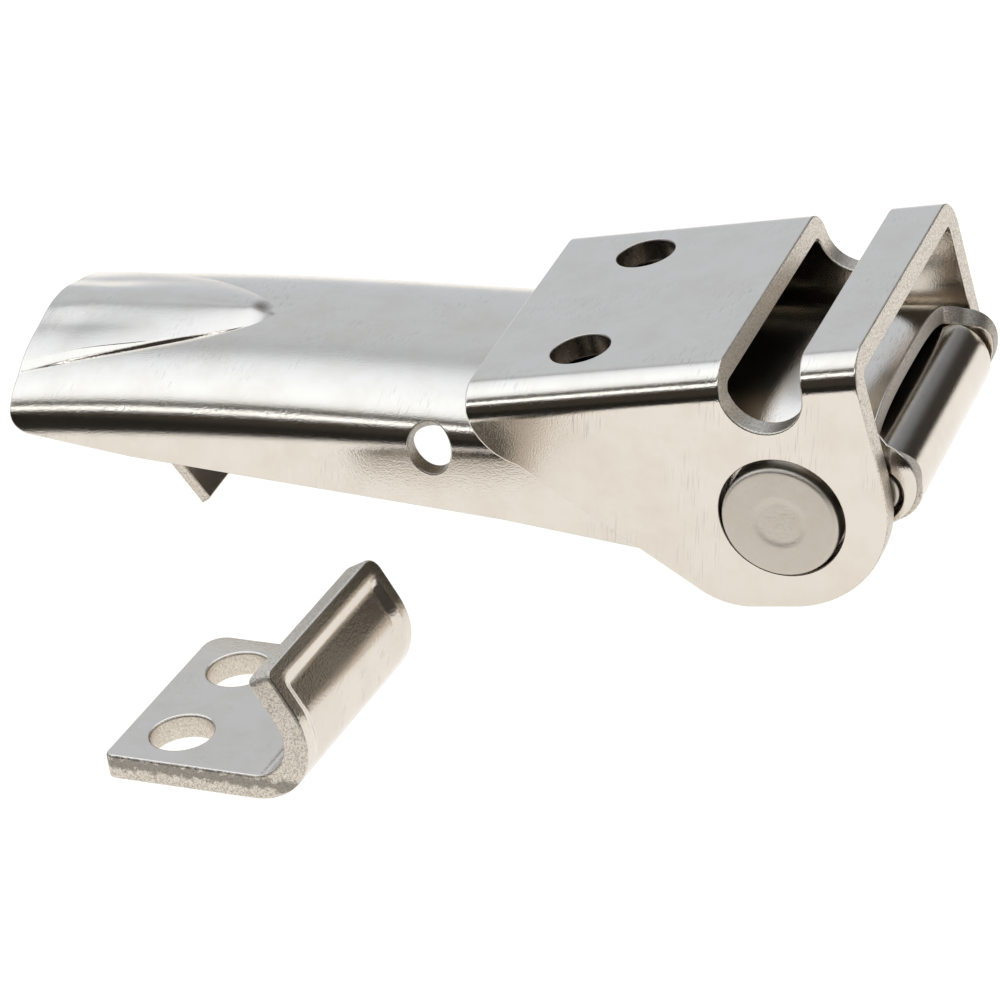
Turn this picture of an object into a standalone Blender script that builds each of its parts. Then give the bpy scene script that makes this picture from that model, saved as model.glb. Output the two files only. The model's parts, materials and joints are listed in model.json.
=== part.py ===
"""Over-centre toggle latch with its loose catch plate, lying open and upside down.

The latch rests on the round lower edges of its bracket's ears and on the tip of
its hook. The bracket's mounting face is on top, and the catch plate lies beside
the latch. +X runs along the latch towards its pivot end, +Y runs along the
pivot axis, +Z is up from the surface that the pieces lie on.
"""

import math

import bmesh
import bpy
import numpy as np
from mathutils import Matrix, Vector

MM = 0.001

# Where the pivot axis is, and how far the bracket and the lever lean about it
PIVOT = (26.1, 14.97, 7.42)
BRACKET_TILT = math.radians(8.1)
LEVER_TILT = math.radians(1.15)

# Bracket: a bent channel. U runs along it and W up from the pivot to its web.
BRACKET_WIDTH = 27.1
BRACKET_SHEET = 1.8
BRACKET_BEND = 2.5
WEB_TOP = 12.2
WEB_LEFT = -22.0
WEB_RIGHT = 8.3
EAR_HEEL = ((-16.9, 10.6), 5.1)
EAR_WAIST = ((-3.4, -0.95), 6.0)
EAR_ROUND = ((-0.2, 1.3), 8.45)
SLOT_LEFT = -2.1
SLOT_RIGHT = 4.0
SLOT_FLOOR = 7.1
SCREW_HOLE = 4.5
SCREW_HOLE_U = -14.4
SCREW_HOLE_Y = 7.7
PIVOT_HOLE_RADIUS = 5.0
PIVOT_HOLE_SHIFT = 0.28

# Lever: an arched channel with a raised scoop at its free end
LEVER_HALF_WIDTH = 11.4
LEVER_SHEET = 1.4
LEVER_BEND = 2.2
LEVER_BEND_W = 3.96
LEVER_END = -61.8
LEVER_WEB_END = 6.5
LEVER_CORNER = ((-59.9, 5.2), 1.9)
LEVER_EDGE = ((-52.0, 1.75), (-22.5, -2.25))
LEVER_HEEL = ((0.0, 0.0), 6.2)
LEVER_EAR = ((6.2, 2.35), 3.65)
ARCH_ANGLES = ((-44.0, 25.4), (-23.0, 15.0), (7.0, 10.0))
SCOOP_TIP = -43.8
SCOOP_LENGTH = 17.4
SCOOP_HALF_WIDTH = 8.3
SCOOP_HEIGHT = 1.5
LOCK_HOLE = (-27.4, 3.6)
LOCK_HOLE_HALF = (1.68, 2.15)

# Journal rivets, which carry the lever in the bracket's ears
JOURNAL_RADIUS = 4.4
JOURNAL_PROUD = 0.3
SHANK_RADIUS = 2.8
DIMPLE_RADIUS = 2.2
DIMPLE_DEPTH = 0.35
GAP = 0.25

# Hook pin and drawbar. The pin's centre is given from the pivot.
PIN_AT = (6.5, 1.3)
PIN_RADIUS = 1.85
PIN_HALF_LENGTH = 11.0
PIN_HOLE_RADIUS = 2.1
PIN_SINK_RADIUS = 2.65
STRAP_SHEET = 0.9
ROLL_RADIUS = 3.1
ROLL_HALF_WIDTH = 9.6
STRAP_HALF_WIDTH = 7.6
HOOK_HALF_WIDTH = 3.9
HOOK_CORNER = (-63.0, 1.5)
HOOK_TIP = (-56.7, -8.45)
HOOK_BEND = 1.6
ROLL_SWEEP = 303

# Catch plate: a plate with a lip that leans back over it
CATCH_AT = (-15.84, -27.32)
CATCH_TURN = math.radians(-5.1)
CATCH_WIDTH = 16.8
CATCH_SHEET = 1.95
CATCH_BEND_AT = 11.8
CATCH_BEND_RADIUS = 5.0
CATCH_LEAN = 28.0
CATCH_LIP = 3.7
CATCH_HOLE = 4.6
CATCH_HOLE_AT = 4.3
CATCH_HOLE_SPACING = 8.75

# Cutters reach past everything: sideways, above the pivot and below it
CUTTER_DEPTH = 60.0
DRILL_DEPTH = 8.0
ABOVE = 20.0
BELOW = -12.0
STEPS = 8


def clear_scene():
    for item in list(bpy.data.objects):
        bpy.data.objects.remove(item, do_unlink=True)


def new_collection(name):
    group = bpy.data.collections.new(name)
    bpy.context.scene.collection.children.link(group)
    return group


def metal(name, colour, roughness):
    """A plated-steel material."""
    made = bpy.data.materials.new(name)
    made.use_nodes = True
    shader = made.node_tree.nodes["Principled BSDF"]
    shader.inputs["Base Color"].default_value = (*colour, 1.0)
    shader.inputs["Metallic"].default_value = 1.0
    shader.inputs["Roughness"].default_value = roughness
    return made


def arc(centre, radius, start, end, steps=STEPS):
    """Points along an arc, with its angles in degrees."""
    angles = np.radians(np.linspace(start, end, steps + 1))
    return [(centre[0] + radius * math.cos(a), centre[1] + radius * math.sin(a)) for a in angles]


def empty(name, location, turn, group, parent=None):
    """An empty that carries one moving body, in millimetres."""
    made = bpy.data.objects.new(name, None)
    group.objects.link(made)
    made.parent = parent
    made.location = Vector(location) * MM
    made.rotation_euler = turn
    bpy.context.view_layer.update()
    return made


def place(made, frame, group):
    """Puts a mesh object that is modelled in a frame's own axes into that frame."""
    group.objects.link(made)
    made.parent = frame
    return made


# How an outline's own axes lie in its frame: side view, end view and plan
SIDE = Matrix(((1, 0, 0), (0, 0, -1), (0, 1, 0)))
END = Matrix(((0, 0, 1), (1, 0, 0), (0, 1, 0)))
PLAN = Matrix.Identity(3)


def prism(name, outline, view, depth, middle, frame, group):
    """A flat outline extruded by depth across its view, as a closed mesh."""
    curve = bpy.data.curves.new(name, "CURVE")
    curve.dimensions = "2D"
    curve.fill_mode = "BOTH"
    curve.extrude = depth / 2 * MM
    line = curve.splines.new("POLY")
    line.points.add(len(outline) - 1)
    for point, (x, y) in zip(line.points, outline):
        point.co = (x * MM, y * MM, 0, 1)
    line.use_cyclic_u = True
    guide = bpy.data.objects.new(name + "_outline", curve)
    bpy.context.scene.collection.objects.link(guide)
    bpy.context.view_layer.update()
    shape = guide.evaluated_get(bpy.context.evaluated_depsgraph_get())
    mesh = bpy.data.meshes.new_from_object(shape)
    bpy.data.objects.remove(guide, do_unlink=True)
    solid = bmesh.new()
    solid.from_mesh(mesh)
    bmesh.ops.remove_doubles(solid, verts=solid.verts, dist=1e-7)
    bmesh.ops.transform(solid, matrix=view.to_4x4(), verts=solid.verts)
    bmesh.ops.translate(solid, vec=Vector(middle) * MM, verts=solid.verts)
    bmesh.ops.recalc_face_normals(solid, faces=solid.faces)
    solid.to_mesh(mesh)
    solid.free()
    mesh.name = name
    return place(bpy.data.objects.new(name, mesh), frame, group)


def turned(name, profile, frame, group, steps=40):
    """A solid turned about its frame's Y axis from (radius, y) points, first and last on the axis."""
    mesh = bpy.data.meshes.new(name)
    points = [(radius * MM, 0, y * MM) for radius, y in profile]
    mesh.from_pydata(points, [(i, i + 1) for i in range(len(points) - 1)], [])
    made = place(bpy.data.objects.new(name, mesh), frame, group)
    made.rotation_euler = (-math.pi / 2, 0, 0)
    spin = made.modifiers.new("Turn", "SCREW")
    spin.axis = "Z"
    spin.steps = steps
    spin.render_steps = steps
    spin.use_merge_vertices = True
    spin.merge_threshold = 1e-6
    spin.use_smooth_shade = False
    return made


def cut(target, cutter, operation="DIFFERENCE"):
    """Cuts target by cutter, or keeps only what they share."""
    change = target.modifiers.new(cutter.name, "BOOLEAN")
    change.operation = operation
    change.solver = "EXACT"
    change.object = cutter
    cutter.display_type = "WIRE"
    cutter.hide_render = True


def cut_together(target, name, drills):
    """Cuts target by several cutters in one step."""
    group = bpy.data.collections.new(name)
    for drill in drills:
        group.objects.link(drill)
        drill.display_type = "WIRE"
        drill.hide_render = True
    change = target.modifiers.new(name, "BOOLEAN")
    change.solver = "EXACT"
    change.operand_type = "COLLECTION"
    change.collection = group


def finish(made, material):
    made.data.materials.clear()
    made.data.materials.append(material)
    made.data.shade_smooth()
    made.data.set_sharp_from_angle(angle=math.radians(30))


def round_hole(name, radius, centre, view, frame, group, depth=CUTTER_DEPTH, middle=(0, 0, 0)):
    return prism(name, arc(centre, radius, 0, 360 - 360 / 32, 31), view, depth, middle, frame, group)


def channel_section(width, top, bend, sheet, foot):
    """The end view of a channel with rounded bends, open downwards."""
    half = width / 2
    inner = bend - sheet
    centre = half - bend
    outside = arc((centre, top - bend), bend, 0, 90, 6) + arc((-centre, top - bend), bend, 90, 180, 6)
    inside = arc((-centre, top - bend), inner, 180, 90, 4) + arc((centre, top - bend), inner, 90, 0, 4)
    return (
        [(half, foot)] + outside + [(-half, foot), (-half + sheet, foot)] + inside + [(half - sheet, foot)]
    )


def build_bracket(frame, parts, cutters, material):
    """The mounting bracket: flat web on top, two ears down to the pivot."""
    section = channel_section(BRACKET_WIDTH, WEB_TOP, BRACKET_BEND, BRACKET_SHEET, BELOW)
    bracket = prism("base_bracket", section, END, CUTTER_DEPTH, (0, 0, 0), frame, parts)
    ear = (
        [(WEB_LEFT, ABOVE)]
        + arc(*EAR_HEEL, 180, 245, 5)
        + arc(*EAR_WAIST, 222, 262, 5)
        + arc(*EAR_ROUND, 270, 355, 10)
        + [(WEB_RIGHT, ABOVE)]
    )
    cut(bracket, prism("ear_outline", ear, SIDE, CUTTER_DEPTH, (0, 0, 0), frame, cutters), "INTERSECT")
    slot_radius = (SLOT_RIGHT - SLOT_LEFT) / 2
    slot_middle = ((SLOT_RIGHT + SLOT_LEFT) / 2, SLOT_FLOOR + slot_radius)
    slot = [(SLOT_LEFT, ABOVE)] + arc(slot_middle, slot_radius, 180, 360, 12) + [(SLOT_RIGHT, ABOVE)]
    cut(bracket, prism("swing_slot", slot, SIDE, CUTTER_DEPTH, (0, 0, 0), frame, cutters))
    for side, word in ((-1, "near"), (1, "far")):
        centre = (SCREW_HOLE_U, side * SCREW_HOLE_Y)
        drill = round_hole(
            "screw_drill_" + word, SCREW_HOLE / 2, centre, PLAN, frame, cutters, DRILL_DEPTH, (0, 0, WEB_TOP)
        )
        cut(bracket, drill)
    shifted = (PIVOT_HOLE_SHIFT, PIVOT_HOLE_SHIFT)
    cut(bracket, round_hole("pivot_drill", PIVOT_HOLE_RADIUS, shifted, SIDE, frame, cutters))
    finish(bracket, material)
    return bracket


def arch_angle(u):
    """How steeply the lever's arched web meets its bends, in radians."""
    stations, angles = zip(*ARCH_ANGLES)
    return math.radians(float(np.interp(u, stations, angles)))


def scoop_rise(u, y):
    """How far the scoop stands above the arched web."""
    along = (SCOOP_TIP - u) / SCOOP_LENGTH
    if along <= 0:
        return 0.0
    half = SCOOP_HALF_WIDTH * math.sqrt(along)
    across = 1 - (y / half) ** 2
    return SCOOP_HEIGHT * along**0.3 * across**0.8 if across > 0 else 0.0


def web_height(u, y):
    """The height of the lever's outer surface on its web."""
    angle = arch_angle(u)
    edge = LEVER_HALF_WIDTH - LEVER_BEND + LEVER_BEND * math.sin(angle)
    crown = edge * math.tan(angle) / 2
    foot = LEVER_BEND_W + LEVER_BEND * math.cos(angle)
    return foot + crown * (1 - (y / edge) ** 2) + scoop_rise(u, y)


def lever_half_section(u, inset):
    """Half a section of the lever at a station, inset from its outer surface, from middle to foot."""
    angle = arch_angle(u)
    centre = LEVER_HALF_WIDTH - LEVER_BEND
    radius = LEVER_BEND - inset
    edge = centre + radius * math.sin(angle)
    points = []
    for share in np.linspace(0, 1, 12, endpoint=False):
        slope = math.tan(angle) * share
        points.append((share * edge, web_height(u, share * edge) - inset * math.hypot(1, slope)))
    points += arc((centre, LEVER_BEND_W), radius, 90 - math.degrees(angle), 0, 4)
    return points + [(centre + radius, BELOW)]


def lever_shell(frame, parts):
    """The lever's bent sheet, lofted through closed sections along its length."""
    scoop = SCOOP_TIP - SCOOP_LENGTH * np.array([1.1, 1.0, 0.85, 0.7, 0.55, 0.42, 0.3, 0.2, 0.12, 0.06, 0.0])
    stations = list(scoop) + [-40.0, -34.0, -28.0, -23.0, -16.0, -8.0, 0.0, 7.0, 12.0]
    shell = bmesh.new()
    rings = []
    for u in stations:
        outer = lever_half_section(u, 0.0)
        inner = lever_half_section(u, LEVER_SHEET)
        ring = [(-y, w) for y, w in outer[:0:-1]] + outer + inner[::-1] + [(-y, w) for y, w in inner[1:]]
        rings.append([shell.verts.new((u * MM, y * MM, w * MM)) for y, w in ring])
    for ring, following in zip(rings, rings[1:]):
        for i in range(len(ring)):
            j = (i + 1) % len(ring)
            shell.faces.new((ring[i], ring[j], following[j], following[i]))
    shell.faces.new(rings[0])
    shell.faces.new(rings[-1])
    bmesh.ops.recalc_face_normals(shell, faces=shell.faces)
    mesh = bpy.data.meshes.new("lever")
    shell.to_mesh(mesh)
    shell.free()
    return place(bpy.data.objects.new("lever", mesh), frame, parts)


def build_lever(frame, pin_frame, parts, cutters, material):
    """The lever: arched web, two flanges, and ears that hold the hook pin."""
    lever = lever_shell(frame, parts)
    outline = (
        [(LEVER_END, ABOVE)]
        + arc(*LEVER_CORNER, 180, 255, 4)
        + list(LEVER_EDGE)
        + arc(*LEVER_HEEL, 262, 315, 5)
        + arc(*LEVER_EAR, -70, 70, 12)
        + [(LEVER_WEB_END, 6.4), (LEVER_WEB_END, ABOVE)]
    )
    cut(lever, prism("lever_outline", outline, SIDE, CUTTER_DEPTH, (0, 0, 0), frame, cutters), "INTERSECT")
    wide, tall = LOCK_HOLE_HALF
    centre_u, centre_w = LOCK_HOLE
    lock = [
        (centre_u + wide * math.cos(a), centre_w + tall * math.sin(a))
        for a in np.linspace(0, 2 * math.pi, 24, endpoint=False)
    ]
    drills = [
        prism("lock_hole_drill", lock, SIDE, CUTTER_DEPTH, (0, 0, 0), frame, cutters),
        round_hole("journal_drill", SHANK_RADIUS + GAP, (0, 0), SIDE, frame, cutters),
    ]
    cut_together(lever, "lever_holes", drills + pin_seat_drills(pin_frame, cutters))
    finish(lever, material)


def pin_seat_drills(frame, cutters):
    """Cutters for the countersunk holes in the lever's ears, about the hook pin's axis."""
    drills = []
    outer = LEVER_HALF_WIDTH
    sink_depth = 1.0
    flare = (PIN_SINK_RADIUS - PIN_HOLE_RADIUS) / sink_depth
    clear = 2.0
    for side, word in ((-1, "near"), (1, "far")):
        ends = [
            (0, outer + clear),
            (PIN_SINK_RADIUS + flare * clear, outer + clear),
            (PIN_HOLE_RADIUS, outer - sink_depth),
            (PIN_HOLE_RADIUS, outer - LEVER_SHEET - clear),
            (0, outer - LEVER_SHEET - clear),
        ]
        profile = ends if side > 0 else [(radius, -y) for radius, y in reversed(ends)]
        drills.append(turned("pin_seat_" + word, profile, frame, cutters, 32))
    return drills


def build_journals(frame, parts, material):
    """Two shouldered rivets: a wide journal in the bracket's ear, and a shank staked flush in the lever."""
    face = BRACKET_WIDTH / 2 + JOURNAL_PROUD
    shoulder = LEVER_HALF_WIDTH + GAP
    staked = LEVER_HALF_WIDTH - LEVER_SHEET + 0.1
    chamfer = 0.25
    profile = [
        (0, face - DIMPLE_DEPTH),
        (DIMPLE_RADIUS * 0.55, face - DIMPLE_DEPTH),
        (DIMPLE_RADIUS, face),
        (JOURNAL_RADIUS - chamfer, face),
        (JOURNAL_RADIUS, face - chamfer),
        (JOURNAL_RADIUS, shoulder),
        (SHANK_RADIUS, shoulder),
        (SHANK_RADIUS, staked),
        (0, staked),
    ]
    finish(turned("journal_rivet_far", profile, frame, parts), material)
    mirrored = [(radius, -y) for radius, y in reversed(profile)]
    finish(turned("journal_rivet_near", mirrored, frame, parts), material)


def build_pin(frame, parts, material):
    """The hook pin, with chamfered ends."""
    end = PIN_HALF_LENGTH
    chamfer = 0.2
    profile = [
        (0, end),
        (PIN_RADIUS - chamfer, end),
        (PIN_RADIUS, end - chamfer),
        (PIN_RADIUS, -end + chamfer),
        (PIN_RADIUS - chamfer, -end),
        (0, -end),
    ]
    finish(turned("hook_pin", profile, frame, parts), material)


def fillet(before, corner, after, radius, steps=6):
    """The rounded corner of a path, tangent to the lines before and after it."""
    corner = Vector(corner)
    back = (Vector(before) - corner).normalized()
    on = (Vector(after) - corner).normalized()
    half = back.angle(on) / 2
    centre = corner + (back + on).normalized() * (radius / math.sin(half))
    first = corner + back * (radius / math.tan(half)) - centre
    turn = 2 * half - math.pi if back.cross(on) > 0 else math.pi - 2 * half
    return [tuple(centre + Matrix.Rotation(turn * i / steps, 2) @ first) for i in range(steps + 1)]


def offset_path(path, distance):
    """A path moved sideways to its left by a distance."""
    points = np.array(path)
    ahead = np.gradient(points, axis=0)
    ahead /= np.linalg.norm(ahead, axis=1)[:, None]
    left = np.c_[-ahead[:, 1], ahead[:, 0]]
    return [tuple(point) for point in points + distance * left]


def build_drawbar(frame, parts, cutters, material):
    """The drawbar: rolled round the hook pin, a tapering strap, and a hook bent back under it."""
    middle = ROLL_RADIUS - STRAP_SHEET / 2
    x, z = HOOK_CORNER
    slope = math.degrees(math.atan2(-z, -x) + math.asin(middle / math.hypot(x, z)))
    tangent = arc((0, 0), middle, 90 + slope, 90 + slope - ROLL_SWEEP, 26)
    path = [HOOK_TIP] + fillet(HOOK_TIP, HOOK_CORNER, tangent[0], HOOK_BEND) + tangent
    left = offset_path(path, STRAP_SHEET / 2)
    right = offset_path(path, -STRAP_SHEET / 2)
    drawbar = prism("drawbar", left + right[::-1], SIDE, 2 * ROLL_HALF_WIDTH, (0, 0, 0), frame, parts)
    half_plan = [
        (8.0, ROLL_HALF_WIDTH + 1),
        (-3.4, ROLL_HALF_WIDTH + 1),
        (-3.4, STRAP_HALF_WIDTH + 1.0),
        (-4.8, STRAP_HALF_WIDTH),
        (-24.0, STRAP_HALF_WIDTH),
        (-48.0, HOOK_HALF_WIDTH),
        (-80.0, HOOK_HALF_WIDTH),
    ]
    plan = half_plan + [(x, -y) for x, y in reversed(half_plan)]
    cut(drawbar, prism("drawbar_plan", plan, PLAN, CUTTER_DEPTH, (0, 0, 0), frame, cutters), "INTERSECT")
    finish(drawbar, material)


def build_catch(frame, parts, cutters, material):
    """The catch plate, flat on the surface, with its lip leaning back over it."""
    centre = (CATCH_BEND_AT, CATCH_BEND_RADIUS)
    lean = math.radians(CATCH_LEAN)
    along = Vector((-math.sin(lean), math.cos(lean)))
    outer = arc(centre, CATCH_BEND_RADIUS, -90, CATCH_LEAN, 10)
    inner = arc(centre, CATCH_BEND_RADIUS - CATCH_SHEET, CATCH_LEAN, -90, 8)
    outer_tip = Vector(outer[-1]) + along * CATCH_LIP
    inner_tip = Vector(inner[0]) + along * CATCH_LIP
    edge = 0.45
    shorter = Vector(outer[-1]) + along * (CATCH_LIP - edge)
    across = (inner_tip - outer_tip).normalized() * edge
    tip = [tuple(shorter), tuple(outer_tip + across), tuple(inner_tip)]
    outline = [(0, 0)] + outer + tip + inner + [(0, CATCH_SHEET)]
    catch = prism("catch_plate", outline, SIDE, CATCH_WIDTH, (0, CATCH_WIDTH / 2, 0), frame, parts)
    for side, word in ((-1, "near"), (1, "far")):
        centre = (CATCH_HOLE_AT, CATCH_WIDTH / 2 + side * CATCH_HOLE_SPACING / 2)
        cut(catch, round_hole("catch_drill_" + word, CATCH_HOLE / 2, centre, PLAN, frame, cutters, DRILL_DEPTH))
    finish(catch, material)


def main():
    clear_scene()
    parts = new_collection("toggle_bolt_latch")
    cutters = new_collection("cutters")
    nickel = metal("bright_nickel", (0.72, 0.70, 0.67), 0.2)
    journal_nickel = metal("satin_nickel", (0.55, 0.52, 0.48), 0.38)
    dark_nickel = metal("drawbar_nickel", (0.62, 0.60, 0.58), 0.22)

    bracket_frame = empty("bracket_frame", PIVOT, (0, -BRACKET_TILT, 0), cutters)
    lever_axis = empty("lever_axis", PIVOT, (0, -LEVER_TILT, 0), cutters)
    pin_place = (PIVOT[0] + PIN_AT[0], PIVOT[1], PIVOT[2] + PIN_AT[1])
    pin_axis = empty("hook_axis", pin_place, (0, 0, 0), cutters)
    catch_frame = empty("catch_frame", (*CATCH_AT, 0), (0, 0, CATCH_TURN), cutters)

    build_bracket(bracket_frame, parts, cutters, nickel)
    build_lever(lever_axis, pin_axis, parts, cutters, nickel)
    build_journals(lever_axis, parts, journal_nickel)
    build_pin(pin_axis, parts, journal_nickel)
    build_drawbar(pin_axis, parts, cutters, dark_nickel)
    build_catch(catch_frame, parts, cutters, nickel)


main()
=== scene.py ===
"""Looks of an over-centre toggle latch and its loose catch plate, in nickel-plated steel.

Every piece is pressed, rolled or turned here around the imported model, in metres. A pressed
piece is a flat blank that is folded by a function from blank to space, so its rims keep
the small rounding that shearing and plating leave.
"""

import json
import math

import bmesh
import bpy
import numpy as np
from mathutils import Matrix, Vector, noise
from mathutils.geometry import delaunay_2d_cdt


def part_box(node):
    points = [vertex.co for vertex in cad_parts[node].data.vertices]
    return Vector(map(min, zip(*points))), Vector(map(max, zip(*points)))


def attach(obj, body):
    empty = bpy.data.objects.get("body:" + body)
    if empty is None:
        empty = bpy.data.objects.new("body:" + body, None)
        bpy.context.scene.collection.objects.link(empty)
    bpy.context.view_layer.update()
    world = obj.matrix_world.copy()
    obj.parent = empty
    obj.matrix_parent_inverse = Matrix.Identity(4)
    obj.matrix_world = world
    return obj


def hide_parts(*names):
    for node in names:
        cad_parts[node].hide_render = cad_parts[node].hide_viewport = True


bl_info = {
    "name": "Toggle Latch Builder",
    "version": (1, 0, 0),
    "blender": (4, 5, 0),
    "location": "3D View > Sidebar > Toggle Latch",
    "description": "Builds a nickel-plated toggle latch and its catch plate",
    "category": "Object",
}

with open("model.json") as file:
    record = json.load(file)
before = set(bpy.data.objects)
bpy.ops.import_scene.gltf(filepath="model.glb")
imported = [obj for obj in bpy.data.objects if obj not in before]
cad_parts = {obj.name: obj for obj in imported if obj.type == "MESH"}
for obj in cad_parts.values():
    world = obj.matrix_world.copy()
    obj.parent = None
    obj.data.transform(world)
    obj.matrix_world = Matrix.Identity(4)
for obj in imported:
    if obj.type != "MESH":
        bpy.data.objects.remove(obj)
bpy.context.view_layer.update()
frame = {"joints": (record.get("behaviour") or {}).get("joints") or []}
JOINTS = {joint["name"]: joint for joint in frame["joints"]}
MM = 0.001


def length(name, description, millimetres):
    """A size that the user can change, kept in metres."""
    return bpy.props.FloatProperty(
        name=name, description=description, default=millimetres * MM, unit="LENGTH", precision=5
    )


def angle(name, description, degrees):
    return bpy.props.FloatProperty(
        name=name, description=description, default=math.radians(degrees), unit="ROTATION"
    )


def colour(name, description, value):
    return bpy.props.FloatVectorProperty(
        name=name, description=description, default=value, size=3, min=0, max=1, subtype="COLOR"
    )


class BracketSizes(bpy.types.PropertyGroup):
    tilt: angle("Tilt", "How far the bracket leans back about the pivot", 8.1)
    width: length("Width", "Over both ears", 27.1)
    sheet: length("Sheet", "Thickness of its steel", 1.8)
    bend: length("Bend", "Outer radius of its two bends", 2.5)
    web: length("Web height", "From the pivot to the top of the web", 12.2)
    screw_hole: length("Screw hole", "Diameter of the two screw holes", 4.5)
    rim: length("Rim", "Rounding left along its sheared rims", 0.16)


class LeverSizes(bpy.types.PropertyGroup):
    tilt: angle("Tilt", "How far the lever leans back about the pivot", 1.15)
    half_width: length("Half width", "From the middle to the outside of a flange", 11.4)
    sheet: length("Sheet", "Thickness of its steel", 1.4)
    scoop: length("Scoop", "How high the finger scoop stands at the free end", 1.55)
    rim: length("Rim", "Rounding left along its sheared rims", 0.14)


class DrawbarSizes(bpy.types.PropertyGroup):
    sheet: length("Sheet", "Thickness of its steel", 0.9)
    roll: length("Roll", "Outer radius of the roll round the hook pin", 3.1)
    roll_half_width: length("Roll half width", "From the middle to an end of the roll", 9.6)
    strap_half_width: length("Strap half width", "Next to the roll", 7.6)
    hook_half_width: length("Hook half width", "At the hook", 3.9)
    rim: length("Rim", "Rounding left along its sheared rims", 0.1)


class CatchSizes(bpy.types.PropertyGroup):
    turn: angle("Turn", "How the loose plate lies on the floor", -5.1)
    width: length("Width", "Along the lip", 16.8)
    sheet: length("Sheet", "Thickness of its steel", 1.95)
    bend: length("Bend", "Outer radius of the bend up to the lip", 5.0)
    lip: length("Lip", "Straight part of the leaning lip", 3.7)
    hole: length("Hole", "Diameter of the two screw holes", 4.6)
    recess: length("Recess", "Depth of the pressed recess on the lip's back", 0.32)
    rim: length("Rim", "Rounding left along its sheared rims", 0.22)


class PinSizes(bpy.types.PropertyGroup):
    journal: length("Journal", "Radius of the journals in the bracket's ears", 4.4)
    journal_face: length("Journal face", "From the middle to a journal's outer face", 13.85)
    shank: length("Shank", "Radius of the rivets' shanks in the lever", 2.8)
    dimple: length("Dimple", "Radius of the dimple in a journal's face", 2.15)
    pin: length("Hook pin", "Radius of the hook pin", 1.85)
    pin_half: length("Hook pin half length", "From the middle to an end", 11.0)


class NickelLooks(bpy.types.PropertyGroup):
    bright: colour("Bright nickel", "Plating on the pressed pieces", (0.70, 0.645, 0.575))
    satin: colour("Satin nickel", "Plating on the turned pieces", (0.56, 0.51, 0.45))
    stain: colour("Stain", "Faint brown film in the plating", (0.56, 0.49, 0.40))
    sheared: colour("Sheared edge", "Plating over the sheared rims", (0.66, 0.60, 0.52))
    # painted shade: this near-black colour on the walls of the bracket's holes stands in for the shade
    # inside the holes and in the gaps round the journals, not for a darker plating
    drilled: colour("Drilled hole", "Darker plating inside the bracket's holes", (0.24, 0.21, 0.18))


class StageLooks(bpy.types.PropertyGroup):
    distance: length("Distance", "From the camera to the pivot's foot", 369.17)
    height_angle: angle("Height angle", "Of the camera above the floor", 28.6226)
    turn: angle("Turn", "Of the camera round the latch", 23.5585)
    roll: angle("Roll", "Of the camera about its view", -8.1702)
    lens: bpy.props.FloatProperty(name="Lens", description="Focal length", default=178.32, unit="CAMERA")
    aim_right: length("Aim right", "How far the view's middle is right of the pivot", -25.52)
    aim_up: length("Aim up", "How far the view's middle is above the pivot's foot", 1.317)
    floor: colour("Floor", "Of the plain pale floor", (1.0, 0.99, 0.975))
    flag_radius: length("Flag radius", "Of the black flag round the set", 56.0)
    flag_height: length("Flag height", "Of the black flag round the set", 22.0)


SETTINGS = {
    "latch_bracket": BracketSizes,
    "latch_lever": LeverSizes,
    "latch_drawbar": DrawbarSizes,
    "latch_catch": CatchSizes,
    "latch_pins": PinSizes,
    "latch_nickel": NickelLooks,
    "latch_stage": StageLooks,
}


# ---------------------------------------------------------------- outlines


def arc(centre, radius, start, end, steps=12):
    """Points along an arc, with its angles in degrees."""
    turn = np.radians(np.linspace(start, end, steps + 1))
    return np.c_[centre[0] + radius * np.cos(turn), centre[1] + radius * np.sin(turn)]


def ellipse(centre, wide, tall, steps=48):
    """A closed loop that runs clockwise, as a hole's edge does."""
    turn = -np.linspace(0, 2 * np.pi, steps, endpoint=False)
    return np.c_[centre[0] + wide * np.cos(turn), centre[1] + tall * np.sin(turn)]


def subdivided(loop, step):
    """A closed loop with its long edges split, so that none is longer than step."""
    loop = np.asarray(loop, float)
    points = []
    for here, there in zip(loop, np.roll(loop, -1, 0)):
        count = max(1, math.ceil(np.linalg.norm(there - here) / step))
        points += [here + (there - here) * i / count for i in range(count)]
    return np.array(points)


def moved_in(loop, distance):
    """A closed loop moved to its own left, which is the side that the steel is on."""
    ahead = np.roll(loop, -1, 0) - loop
    ahead /= np.linalg.norm(ahead, axis=1)[:, None]
    before = np.roll(ahead, 1, 0)
    left = np.c_[-(ahead + before)[:, 1], (ahead + before)[:, 0]]
    meet = 1 + (ahead * before).sum(1)
    return loop + distance * left / np.maximum(meet, 0.6)[:, None]


def inside(loops, points):
    """Which points lie inside the first loop and outside the others, by counting crossings."""
    crossings = np.zeros(len(points), int)
    for loop in loops:
        for (x0, y0), (x1, y1) in zip(loop, np.roll(loop, -1, 0)):
            straddles = (y0 > points[:, 1]) != (y1 > points[:, 1])
            if straddles.any():
                x = x0 + (points[:, 1] - y0) / (y1 - y0 if y1 != y0 else 1) * (x1 - x0)
                crossings += straddles & (x > points[:, 0])
    return crossings % 2 == 1


def clear_of(loops, points, gap):
    """Which points keep a gap to every loop."""
    edge = np.concatenate([subdivided(loop, gap) for loop in loops])
    keep = np.ones(len(points), bool)
    for start in range(0, len(edge), 64):
        near = edge[start : start + 64]
        keep &= (((points[:, None] - near[None]) ** 2).sum(2) > gap * gap).all(1)
    return keep


# ---------------------------------------------------------------- pressed sheet


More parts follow.
